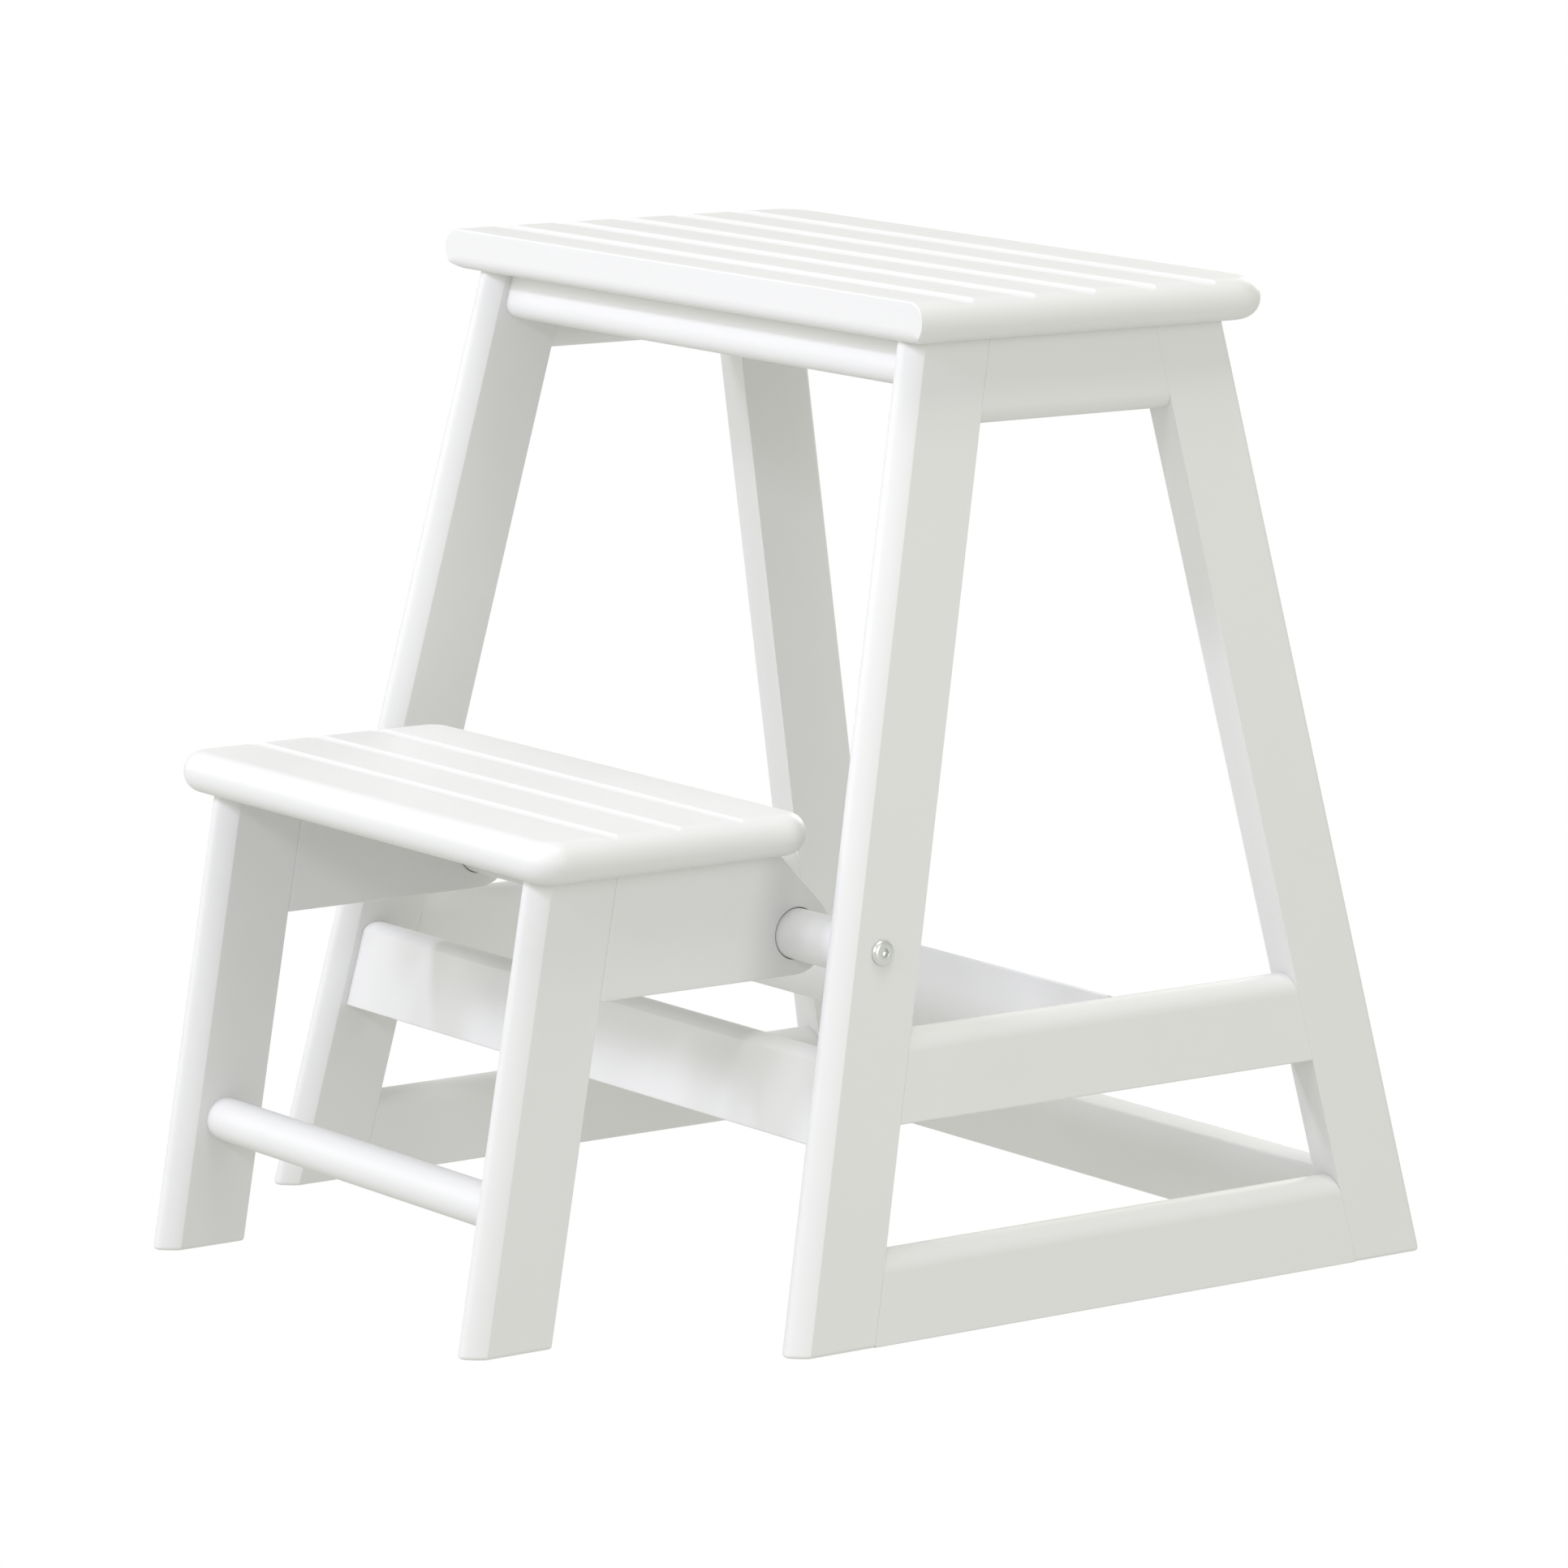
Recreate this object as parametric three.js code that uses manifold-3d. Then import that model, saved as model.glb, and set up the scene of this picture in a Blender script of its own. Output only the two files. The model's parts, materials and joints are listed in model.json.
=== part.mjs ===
// Folding step stool chair in white painted wood, in millimetres, with Z up.
// A slatted seat stands on two side frames that lean in towards the top. A lower step hangs on
// a rod between the front legs, and swings up and over to lie upside down inside the frame.

import * as THREE from 'three';
import { mergeVertices } from 'three/addons/utils/BufferGeometryUtils.js';
import Module from 'manifold-3d';

const wasm = await Module();
wasm.setup();

// Stock and fits
const board = 18; // thickness of every leg and rail
const glueLine = 0.2; // gap in a glued or screwed joint
const runningFit = 0.4; // clearance all round a turning or loose fit
const noseShare = 0.49; // radius of a full round edge, as a share of the board's thickness
const archShare = 0.3; // rise of a leg's arched edge, as a share of the board's thickness
const footEase = 2.5; // rounding of the edges that meet the floor
const overrun = 10; // how far a cutting tool reaches past what it cuts

// Side frames, measured over their outer faces and between their outer arrises
const floorWidth = 435.7;
const topWidth = 348.4;
const floorDepth = 376.4;
const topDepth = 178.4;
const frontSetback = 91.6; // how far the front legs' tops lie behind their feet
const frontLegWidth = 38;
const rearLegWidth = 40;
const topRailHeight = 40.5;
const middleRailBottom = 101.3;
const middleRailHeight = 42.2;
const bottomRailHeight = 42.8;

// Seat
const seatHeight = 480;
const seatThickness = 20;
const seatEndOverhang = 15.3; // past the side frames' outer faces
const seatFrontOverhang = 17.6;
const seatBackOverhang = 26;
const seatCorner = 14.6; // back corners of the flat, inside the round edge
const seatFrontRise = 2.8; // how far the arched front edge stands proud of its arrises
const seatGrooves = 5;
const seatGrooveSpacing = 36.8;
const seatGrooveRadius = 11;
const seatGrooveDepth = 2.3;

// Rails between the side frames
const frontRailInset = 3.5; // behind the front legs' front arris
const frontRailRoundShare = 0.44; // radius of its rounded edges, as a share of the board's thickness
const upperRailHeight = 22.5;
const lowerRailDrop = 43.5; // from the rod's axis down to the lower rail's top
const lowerRailHeight = 45;
const rearRailInset = 10; // behind the rear legs' front face
const rearFootRailHeight = 41.5;
const restRailFront = 200; // behind the front legs' feet
const restRailHeight = 41.7;

// Pivot
const pivotDrop = 39.5; // from the step legs' tops down to the rod's axis
const pivotSetback = 15.3; // behind the front legs' front arris
const rodDiameter = 24;
const boltDiameter = 6;
const boltLength = 34; // under the head
const boltHeadDiameter = 13.1;
const boltHeadHeight = 3.4;
const boltHeadEdge = 1.1; // upright rim under the dome
const boltHeadFlat = 7.6; // flat in the middle of the dome
const boltSocketWidth = 4; // across the flats
const boltSocketDepth = 2.2;
const insertWall = 2;
const insertLength = 14;
const insertRecess = 1;
const boltTipRoom = 4; // from the bolt's tip to the bottom of its bore

// Step
const stepHeight = 240;
const stepReach = 175.5; // from the pivot forward to the legs' front arris at the floor
const stepSetback = 34.5; // how far the legs' tops lie behind their feet
const stepLegWidth = 36.5;
const treadThickness = 20;
const treadSideRoom = 24.1; // between the tread's ends and the front legs
const treadEndOverhang = 16.6; // past the outer faces of the step's legs
const treadDepth = 159;
const treadOverhang = 18.2; // in front of the legs' front arris
const treadCorner = 6.2; // corners of the flat, inside the round edge
const treadGrooves = 3;
const treadGrooveSpacing = 36;
const treadGrooveRadius = 8.2;
const treadGrooveDepth = 1.35;
const armWall = 8; // wood round the rod
const rungDiameter = 21;
const rungHeight = 62.5;

// Smoothness of curves
const arcSteps = 8;
const roundSteps = 36;
const easeSteps = 3;

// Worked out from the sizes above
const legTop = seatHeight - seatThickness;
const frontRake = frontSetback / legTop;
const rearRake = (floorDepth - frontSetback - topDepth) / legTop;
const lean = (floorWidth - topWidth) / 2 / legTop;
const seatFront = frontSetback - seatFrontOverhang;
const seatDepth = seatFrontOverhang + topDepth + seatBackOverhang;
const seatLength = topWidth + 2 * seatEndOverhang;
const legArch = archShare * board;
const boardNose = noseShare * board;

const outerFace = (z) => floorWidth / 2 - lean * z;
const innerFace = (z) => outerFace(z) - board;
const frontLegFront = (z) => frontRake * z;
const frontLegBack = (z) => frontLegFront(z) + frontLegWidth;
const rearLegBack = (z) => floorDepth - rearRake * z;
const rearLegFront = (z) => rearLegBack(z) - rearLegWidth;
const stepLegTop = stepHeight - treadThickness;
const pivotHeight = stepLegTop - pivotDrop;
const pivotY = frontLegFront(pivotHeight) + pivotSetback;
const insertDiameter = boltDiameter + 2 * insertWall;
const armEndRadius = rodDiameter / 2 + armWall;
const treadLength = 2 * (innerFace(stepHeight) - treadSideRoom);
const stepWidth = treadLength - 2 * treadEndOverhang;

const X = new THREE.Vector3(1, 0, 0);
const Y = new THREE.Vector3(0, 1, 0);
const Z = new THREE.Vector3(0, 0, 1);

// Materials
const paint = () => new THREE.MeshStandardMaterial({ color: 0xf1f1ed, roughness: 0.42, metalness: 0 });
const steel = () => new THREE.MeshStandardMaterial({ color: 0xb4b6b8, roughness: 0.34, metalness: 1 });
const brass = () => new THREE.MeshStandardMaterial({ color: 0xb89a5a, roughness: 0.4, metalness: 1 });

function named(name, geometry, material = paint()) {
  geometry.computeVertexNormals();
  const mesh = new THREE.Mesh(geometry, material);
  mesh.name = name;
  return mesh;
}

const sideName = (side) => (side < 0 ? 'left' : 'right');

// Joining and cutting of closed meshes
function solidOf(geometry) {
  const bare = geometry.clone();
  bare.deleteAttribute('normal');
  bare.deleteAttribute('uv');
  const merged = mergeVertices(bare);
  return new wasm.Manifold(new wasm.Mesh({
    numProp: 3,
    vertProperties: new Float32Array(merged.attributes.position.array),
    triVerts: new Uint32Array(merged.index.array),
  }));
}

function geometryOf(solid) {
  const mesh = solid.getMesh();
  const geometry = new THREE.BufferGeometry();
  geometry.setAttribute('position', new THREE.BufferAttribute(mesh.vertProperties, mesh.numProp));
  geometry.setIndex(new THREE.BufferAttribute(mesh.triVerts, 1));
  return geometry;
}

function cut(geometry, tools) {
  const left = tools.reduce((body, tool) => body.subtract(solidOf(tool)), solidOf(geometry));
  return geometryOf(left);
}

function keepWithin(geometry, tool) {
  return geometryOf(solidOf(geometry).intersect(solidOf(tool)));
}

// A closed outline through corners [u, v, radius], with each corner rounded by its own radius
function outline(corners) {
  const shape = new THREE.Shape();
  const points = corners.map(([u, v]) => new THREE.Vector2(u, v));
  points.forEach((point, i) => {
    const radius = corners[i][2] ?? 0;
    const toLast = points.at(i - 1).clone().sub(point).normalize();
    const toNext = points[(i + 1) % points.length].clone().sub(point).normalize();
    const halfAngle = Math.acos(toLast.dot(toNext)) / 2;
    const start = point.clone().addScaledVector(toLast, radius / Math.tan(halfAngle));
    const end = point.clone().addScaledVector(toNext, radius / Math.tan(halfAngle));
    const inward = toLast.clone().add(toNext).normalize();
    const centre = point.clone().addScaledVector(inward, radius / Math.sin(halfAngle));
    if (i === 0) shape.moveTo(start.x, start.y);
    else shape.lineTo(start.x, start.y);
    if (radius > 0) {
      const from = start.sub(centre).angle();
      const to = end.sub(centre).angle();
      shape.absarc(centre.x, centre.y, radius, from, to, toLast.cross(toNext) > 0);
    }
  });
  return shape;
}

// A shallow arc from the shape's last point to (u, v) that bulges to its right by rise
function archTo(shape, u, v, rise) {
  const from = shape.currentPoint.clone();
  const to = new THREE.Vector2(u, v);
  const chord = to.clone().sub(from);
  const radius = (chord.lengthSq() / 4 + rise * rise) / (2 * rise);
  const left = new THREE.Vector2(-chord.y, chord.x).normalize();
  const centre = from.clone().addScaledVector(chord, 1 / 2).addScaledVector(left, radius - rise);
  shape.absarc(centre.x, centre.y, radius, from.sub(centre).angle(), to.sub(centre).angle(), false);
}

// Extrusion of a profile (y, z) along X, or of a profile (x, z) along Y, between two ends that
// are functions of height, so that an end can follow a slanted leg
function spanAlong(axis, profile, from, to) {
  const geometry = new THREE.ExtrudeGeometry(profile, {
    depth: 1, bevelEnabled: false, curveSegments: arcSteps,
  });
  const turn = new THREE.Matrix4();
  if (axis === X) turn.makeBasis(Y, Z, X);
  else turn.makeBasis(X, Z, Y.clone().negate()).premultiply(new THREE.Matrix4().makeTranslation(Y));
  geometry.applyMatrix4(turn);
  const place = geometry.attributes.position;
  const along = axis === X ? 0 : 1;
  for (let i = 0; i < place.count; i += 1) {
    const start = from(place.getZ(i));
    const end = to(place.getZ(i));
    place.setComponent(i, along, start + place.getComponent(i, along) * (end - start));
  }
  return geometry;
}

// Slant of an upright piece: dx and dy for each unit of height
function slant(geometry, dx, dy) {
  return geometry.applyMatrix4(new THREE.Matrix4().makeShear(0, 0, 0, 0, dx, dy));
}

// Leg: a board on edge, with its outer edge arched and its foot eased, cut level at the top.
// The arris of the arched edge stands at y = 0, and facing is -1 for an arch towards the front
function leg(width, height, facing) {
  const section = new THREE.Shape();
  section.moveTo(facing * board / 2, 0);
  archTo(section, -facing * board / 2, 0, legArch);
  section.lineTo(-facing * board / 2, -facing * width);
  section.lineTo(facing * board / 2, -facing * width);
  section.closePath();
  const blank = new THREE.ExtrudeGeometry(section, {
    depth: height,
    curveSegments: arcSteps,
    bevelThickness: footEase,
    bevelSize: footEase,
    bevelOffset: -footEase,
    bevelSegments: easeSteps,
  });
  blank.translate(0, 0, footEase);
  const above = new THREE.BoxGeometry(board + overrun, 2 * (width + legArch) + overrun, overrun);
  above.translate(0, 0, height + overrun / 2);
  return cut(blank, [above]);
}

// Board with a full round edge on all sides and long grooves in its top, front edge at y = 0
function groovedBoard({ length, depth, thickness, corner, front, grooves, spacing, radius, cutDepth }) {
  const nose = noseShare * thickness;
  const side = length / 2 - nose;
  const flat = outline([
    [-side, front + nose, corner],
    [side, front + nose, corner],
    [side, depth - nose, corner],
    [-side, depth - nose, corner],
  ]);
  const blank = new THREE.ExtrudeGeometry(flat, {
    depth: thickness - 2 * nose,
    curveSegments: arcSteps,
    bevelThickness: nose,
    bevelSize: nose,
    bevelSegments: arcSteps,
  });
  blank.translate(0, 0, nose);
  const flatMiddle = (Math.max(front + nose, 0) + depth - nose) / 2;
  const cutters = Array.from({ length: grooves }, (_, i) => {
    const cutter = new THREE.CylinderGeometry(radius, radius, length + overrun, roundSteps);
    cutter.rotateZ(Math.PI / 2);
    const y = flatMiddle + (i - (grooves - 1) / 2) * spacing;
    return cutter.translate(0, y, thickness - cutDepth + radius);
  });
  return cut(blank, cutters);
}

// Seat board: its front edge is planed to a shallow arch with crisp arrises
function seatBoard() {
  const blank = groovedBoard({
    length: seatLength,
    depth: seatDepth,
    thickness: seatThickness,
    corner: seatCorner,
    front: -seatFrontRise - seatThickness,
    grooves: seatGrooves,
    spacing: seatGrooveSpacing,
    radius: seatGrooveRadius,
    cutDepth: seatGrooveDepth,
  });
  const side = new THREE.Shape();
  side.moveTo(seatDepth + overrun, -overrun);
  side.lineTo(seatDepth + overrun, seatThickness + overrun);
  side.lineTo(0, seatThickness + overrun);
  side.lineTo(0, seatThickness);
  archTo(side, 0, 0, seatFrontRise);
  side.lineTo(0, -overrun);
  side.closePath();
  const end = (seatLength + overrun) / 2;
  const mesh = named('seat_board', keepWithin(blank, spanAlong(X, side, () => -end, () => end)));
  mesh.position.set(0, seatFront, legTop);
  return mesh;
}

// Pivot station: the middle of the rod's end, with Y pointing out square to the leaning leg
function pivotStation(side, originX) {
  const outward = new THREE.Vector3(side, 0, lean).normalize();
  const turn = new THREE.Quaternion().setFromUnitVectors(Y, outward);
  const place = new THREE.Vector3(side * innerFace(pivotHeight) - originX, pivotY, pivotHeight);
  return new THREE.Matrix4().compose(place, turn, new THREE.Vector3(1, 1, 1));
}

function boreAt(station, diameter, from, to) {
  const bore = new THREE.CylinderGeometry(diameter / 2, diameter / 2, to - from, roundSteps);
  return bore.translate(0, (from + to) / 2, 0).applyMatrix4(station);
}

// Side frame: two legs and three rails, all flush and leaning together
function sideFrame(side) {
  const group = new THREE.Group();
  const middle = side * (floorWidth / 2 - board / 2);
  const legHeight = legTop - glueLine;
  const half = board / 2;

  const front = slant(leg(frontLegWidth, legHeight, -1), -side * lean, frontRake);
  const station = pivotStation(side, middle);
  const bore = boreAt(station, boltDiameter + runningFit, -overrun, board + overrun);
  group.add(named(`front_leg_${sideName(side)}`, cut(front, [bore])));

  const rear = slant(leg(rearLegWidth, legHeight, 1), -side * lean, -rearRake);
  const rearLeg = named(`rear_leg_${sideName(side)}`, rear);
  rearLeg.position.y = floorDepth;
  group.add(rearLeg);

  const from = (z) => frontLegBack(z) + glueLine;
  const to = (z) => rearLegFront(z) - glueLine;
  const middleTop = middleRailBottom + middleRailHeight;
  const rails = {
    top_side_rail: [legTop - topRailHeight, legTop - glueLine, boardNose, 0],
    middle_side_rail: [middleRailBottom, middleTop, 0, boardNose],
    bottom_side_rail: [0, bottomRailHeight, 0, boardNose],
  };
  Object.entries(rails).forEach(([name, [low, high, lowRound, highRound]]) => {
    const profile = outline([
      [-half, low, lowRound],
      [half, low, lowRound],
      [half, high, highRound],
      [-half, high, highRound],
    ]);
    const rail = slant(spanAlong(Y, profile, from, to), -side * lean, 0);
    group.add(named(`${name}_${sideName(side)}`, rail));
  });

  group.position.x = middle;
  return group;
}

// Rail from frame to frame: its front face follows faceAt(z), its ends the leaning inner faces.
// rounds holds the radii of the low front, low back, high back and high front edges
function crossRail(name, low, high, faceAt, rounds) {
  const profile = outline([
    [faceAt(low), low, rounds[0]],
    [faceAt(low) + board, low, rounds[1]],
    [faceAt(high) + board, high, rounds[2]],
    [faceAt(high), high, rounds[3]],
  ]);
  const end = (z) => innerFace(z) - glueLine;
  return named(name, spanAlong(X, profile, (z) => -end(z), end));
}

function crossRails() {
  const frontFace = (z) => frontLegFront(z) + frontRailInset;
  const rearFace = (z) => rearLegFront(z) + rearRailInset;
  const upperLow = legTop - upperRailHeight;
  const upperHigh = legTop - glueLine;
  const lowerHigh = pivotHeight - lowerRailDrop;
  const lowerLow = lowerHigh - lowerRailHeight;
  const restHigh = middleRailBottom + restRailHeight;
  const round = frontRailRoundShare * board;
  return [
    crossRail('front_upper_cross_rail', upperLow, upperHigh, frontFace, [round, round, 0, 0]),
    crossRail('front_lower_cross_rail', lowerLow, lowerHigh, frontFace, [0, 0, round, round]),
    crossRail('rear_upper_cross_rail', upperLow, upperHigh, rearFace, [0, 0, 0, 0]),
    crossRail('rear_foot_cross_rail', 0, rearFootRailHeight, rearFace, [0, 0, 0, 0]),
    crossRail('step_rest_rail', middleRailBottom, restHigh, () => restRailFront, [0, 0, 0, 0]),
  ];
}

// Pivot: a rod clamped between the front legs by a bolt at each end, in a threaded insert
function pivotRod() {
  const rod = new THREE.CylinderGeometry(rodDiameter / 2, rodDiameter / 2, 2, roundSteps);
  rod.rotateZ(Math.PI / 2).translate(0, pivotY, pivotHeight);
  const place = rod.attributes.position;
  for (let i = 0; i < place.count; i += 1) {
    place.setX(i, place.getX(i) * (innerFace(place.getZ(i)) - glueLine));
  }
  const boreDepth = boltLength - board + boltTipRoom;
  const bores = [-1, 1].map((side) => boreAt(pivotStation(side, 0), insertDiameter, -boreDepth, overrun));
  return named('pivot_rod', cut(rod, bores));
}

function pivotBolt(side) {
  const shank = boltDiameter / 2;
  const head = boltHeadDiameter / 2;
  const flat = boltHeadFlat / 2;
  const seat = board + glueLine;
  const crown = seat + boltHeadHeight;
  const rim = seat + boltHeadEdge;
  const dome = new THREE.EllipseCurve(flat, rim, head - flat, crown - rim, 0, Math.PI / 2);
  const profile = [
    new THREE.Vector2(0, seat - boltLength),
    new THREE.Vector2(shank, seat - boltLength),
    new THREE.Vector2(shank, seat),
    new THREE.Vector2(head, seat),
    ...dome.getPoints(arcSteps),
    new THREE.Vector2(0, crown),
  ];
  const socketRadius = boltSocketWidth / 2 / Math.cos(Math.PI / 6);
  const socket = new THREE.CylinderGeometry(socketRadius, socketRadius, boltSocketDepth + overrun, 6);
  socket.translate(0, crown + (overrun - boltSocketDepth) / 2, 0);
  const bolt = cut(new THREE.LatheGeometry(profile, roundSteps), [socket]);
  const mesh = named(`pivot_bolt_${sideName(side)}`, bolt, steel());
  mesh.applyMatrix4(pivotStation(side, 0));
  return mesh;
}

function rodInsert(side) {
  const outer = insertDiameter / 2 - glueLine;
  const inner = boltDiameter / 2 + glueLine;
  const low = -insertRecess - insertLength;
  const ring = [
    new THREE.Vector2(inner, low),
    new THREE.Vector2(outer, low),
    new THREE.Vector2(outer, -insertRecess),
    new THREE.Vector2(inner, -insertRecess),
    new THREE.Vector2(inner, low),
  ];
  const mesh = named(`rod_insert_${sideName(side)}`, new THREE.LatheGeometry(ring, roundSteps), brass());
  mesh.applyMatrix4(pivotStation(side, 0));
  return mesh;
}

// Step: everything below is placed from the pivot
const stepRake = stepSetback / stepLegTop;
const stepLegFront = (z) => stepRake * z - stepReach;
const stepLegBack = (z) => stepLegFront(z) + stepLegWidth;

function stepTread() {
  const front = stepLegFront(stepLegTop) - treadOverhang;
  const mesh = named('step_tread', groovedBoard({
    length: treadLength,
    depth: treadDepth,
    thickness: treadThickness,
    corner: treadCorner,
    front: 0,
    grooves: treadGrooves,
    spacing: treadGrooveSpacing,
    radius: treadGrooveRadius,
    cutDepth: treadGrooveDepth,
  }));
  mesh.position.set(0, front, stepLegTop - pivotHeight);
  return mesh;
}

function stepLeg(side) {
  const geometry = slant(leg(stepLegWidth, stepLegTop - glueLine, -1), 0, stepRake);
  const mesh = named(`step_leg_${sideName(side)}`, geometry);
  mesh.position.set(side * (stepWidth - board) / 2, -stepReach, -pivotHeight);
  return mesh;
}

// Arm: level along its bottom, round about the rod, and sloped at 45 degrees up to the tread
function stepArm(side) {
  const top = stepLegTop - glueLine - pivotHeight;
  const bottom = -armEndRadius;
  const slopeTop = armEndRadius * Math.SQRT2 - top;
  const shape = new THREE.Shape();
  shape.moveTo(stepLegBack(bottom + pivotHeight) + glueLine, bottom);
  shape.lineTo(0, bottom);
  shape.absarc(0, 0, armEndRadius, -Math.PI / 2, Math.PI / 4, false);
  shape.lineTo(slopeTop, top);
  shape.lineTo(stepLegBack(top + pivotHeight) + glueLine, top);
  shape.closePath();
  const bore = new THREE.Path();
  bore.absarc(0, 0, rodDiameter / 2 + runningFit, 0, 2 * Math.PI, true);
  shape.holes.push(bore);
  const geometry = spanAlong(X, shape, () => -board / 2, () => board / 2);
  const mesh = named(`step_arm_${sideName(side)}`, geometry);
  mesh.position.x = side * (stepWidth - board) / 2;
  return mesh;
}

function stepRung() {
  const length = stepWidth - 2 * board - 2 * glueLine;
  const rung = new THREE.CylinderGeometry(rungDiameter / 2, rungDiameter / 2, length, roundSteps);
  const mesh = named('step_rung', rung.rotateZ(Math.PI / 2));
  const middle = stepLegFront(rungHeight) + (stepLegWidth - legArch) / 2;
  mesh.position.set(0, middle, rungHeight - pivotHeight);
  return mesh;
}

// Assembly
const frame = new THREE.Group();
frame.add(seatBoard(), sideFrame(-1), sideFrame(1), ...crossRails(), pivotRod());
[-1, 1].forEach((side) => frame.add(pivotBolt(side), rodInsert(side)));

const step = new THREE.Group();
step.position.set(0, pivotY, pivotHeight);
step.add(stepTread(), stepRung());
[-1, 1].forEach((side) => step.add(stepLeg(side), stepArm(side)));

const stool = new THREE.Group();
stool.add(frame, step);

// The origin is on the floor, under the middle of the stool with its step down
const box = new THREE.Box3().setFromObject(stool);
stool.position.y = -box.getCenter(new THREE.Vector3()).y;

export default stool;
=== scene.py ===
# %% [markdown]
# # A folding step stool in white painted wood
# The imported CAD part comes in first. It is the fixed frame that everything else is built around, so
# nothing in it is ever moved. Each board, rod and bolt of the stool is then built again as a smooth
# surface with eased edges, in the same place, because paint on a rounded edge is what the eye reads
# as white painted wood. Real lengths are written in millimetres, and MM turns them into metres.

# %% Load the frame
import json
import math

import bmesh
import bpy
import numpy as np
from mathutils import Matrix, Vector


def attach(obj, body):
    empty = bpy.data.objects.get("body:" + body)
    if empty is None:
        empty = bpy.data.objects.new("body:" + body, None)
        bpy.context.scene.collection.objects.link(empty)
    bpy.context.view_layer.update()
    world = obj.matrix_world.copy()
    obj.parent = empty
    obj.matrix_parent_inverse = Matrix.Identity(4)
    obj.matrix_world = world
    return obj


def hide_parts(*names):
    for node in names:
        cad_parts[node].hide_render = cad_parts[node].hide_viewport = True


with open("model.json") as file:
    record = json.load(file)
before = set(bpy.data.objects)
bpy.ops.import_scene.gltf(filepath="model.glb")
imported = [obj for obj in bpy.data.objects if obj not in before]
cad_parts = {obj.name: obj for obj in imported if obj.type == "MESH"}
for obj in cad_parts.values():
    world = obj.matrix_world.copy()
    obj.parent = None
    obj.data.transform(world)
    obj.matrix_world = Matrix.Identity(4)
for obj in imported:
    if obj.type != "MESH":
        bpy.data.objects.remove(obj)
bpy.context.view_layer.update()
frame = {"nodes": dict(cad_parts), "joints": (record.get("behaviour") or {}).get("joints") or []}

MM = 0.001

# %% [markdown]
# ## Camera
# The photograph was taken with a long lens from the front left, a little above the seat. A camera
# could be aimed with a Track To constraint, but that leaves no say in its roll. Here its three axes
# are worked out as vectors: back from the azimuth and elevation, right and up square to it, and
# then a small roll about the view.

# %% Place the camera
PHOTO_SIZE = 1932
CAMERA_AZIMUTH, CAMERA_ELEVATION, CAMERA_ROLL = 52.007, 10.228, 0.985
CAMERA_DISTANCE = 3725.75 * MM
CAMERA_TARGET = np.array([-24.44, 49.17, 212.47]) * MM
FOCAL_PIXELS = 9309.3
PRINCIPAL_POINT = (980.86, 971.98)
SENSOR_WIDTH = 36.0


def view_axes(azimuth, elevation, roll):
    """Right, up and back: back is the unit vector from the object to the camera, right is square to
    it and level, up is square to both, and the roll turns right and up about back."""
    a, e, r = np.radians([azimuth, elevation, roll])
    back = np.array([np.sin(a) * np.cos(e), -np.cos(a) * np.cos(e), np.sin(e)])
    right = np.cross(-back, [0, 0, 1])
    right /= np.linalg.norm(right)
    up = np.cross(right, -back)
    return np.cos(r) * right + np.sin(r) * up, np.cos(r) * up - np.sin(r) * right, back


right, up, back = view_axes(CAMERA_AZIMUTH, CAMERA_ELEVATION, CAMERA_ROLL)
camera = bpy.data.objects.new("camera", bpy.data.cameras.new("camera"))
bpy.context.scene.collection.objects.link(camera)
turned = Matrix(np.stack([right, up, back], 1).tolist()).to_4x4()
camera.matrix_world = Matrix.Translation(CAMERA_TARGET + back * CAMERA_DISTANCE) @ turned
camera.data.sensor_width = SENSOR_WIDTH
camera.data.lens = SENSOR_WIDTH * FOCAL_PIXELS / PHOTO_SIZE
camera.data.shift_x = (PHOTO_SIZE / 2 - PRINCIPAL_POINT[0]) / PHOTO_SIZE
camera.data.shift_y = (PRINCIPAL_POINT[1] - PHOTO_SIZE / 2) / PHOTO_SIZE
camera.data.clip_end = 100  # metres
bpy.context.scene.camera = camera
print("camera at", np.round(camera.location, 3), "with a lens of", round(camera.data.lens, 1), "mm")

# %% [markdown]
# ## Sizes of the stool
# A surface has to sit where its CAD node sits, so the same workshop sizes are written here again.
# Heights are from the floor, and depths from the arris of the front legs' feet. Of all the points
# only the step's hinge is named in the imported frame, so the feet's place is worked out from it.

# %% Workshop sizes
BOARD = 18 * MM
LEG_TOP = 460 * MM
SEAT_HEIGHT = 480 * MM
FLOOR_WIDTH, TOP_WIDTH = 435.7 * MM, 348.4 * MM
FLOOR_DEPTH, TOP_DEPTH = 376.4 * MM, 178.4 * MM
FRONT_SETBACK = 91.6 * MM
FRONT_LEG_WIDTH, REAR_LEG_WIDTH = 38 * MM, 40 * MM
PIVOT_SETBACK = 15.3 * MM

FRONT_RAKE = FRONT_SETBACK / LEG_TOP
REAR_RAKE = (FLOOR_DEPTH - FRONT_SETBACK - TOP_DEPTH) / LEG_TOP
LEAN = (FLOOR_WIDTH - TOP_WIDTH) / 2 / LEG_TOP

_, PIVOT_Y, PIVOT_Z = frame["joints"][0]["pos_m"]
FOOT_Y = PIVOT_Y - PIVOT_SETBACK - FRONT_RAKE * PIVOT_Z
GLUE_LINE = 0.03 * MM
SIDES = ((-1, "left"), (1, "right"))


def outer_face(z):
    """Half the width over the side frames at height z: they lean in at an even slope."""
    return FLOOR_WIDTH / 2 - LEAN * z


def inner_face(z):
    """Half the clear width between the side frames at height z."""
    return outer_face(z) - BOARD


def front_leg_front(z):
    """Depth of the front legs' front arris at height z."""
    return FOOT_Y + FRONT_RAKE * z


def rear_leg_back(z):
    """Depth of the rear legs' back arris at height z."""
    return FOOT_Y + FLOOR_DEPTH - REAR_RAKE * z


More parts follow.
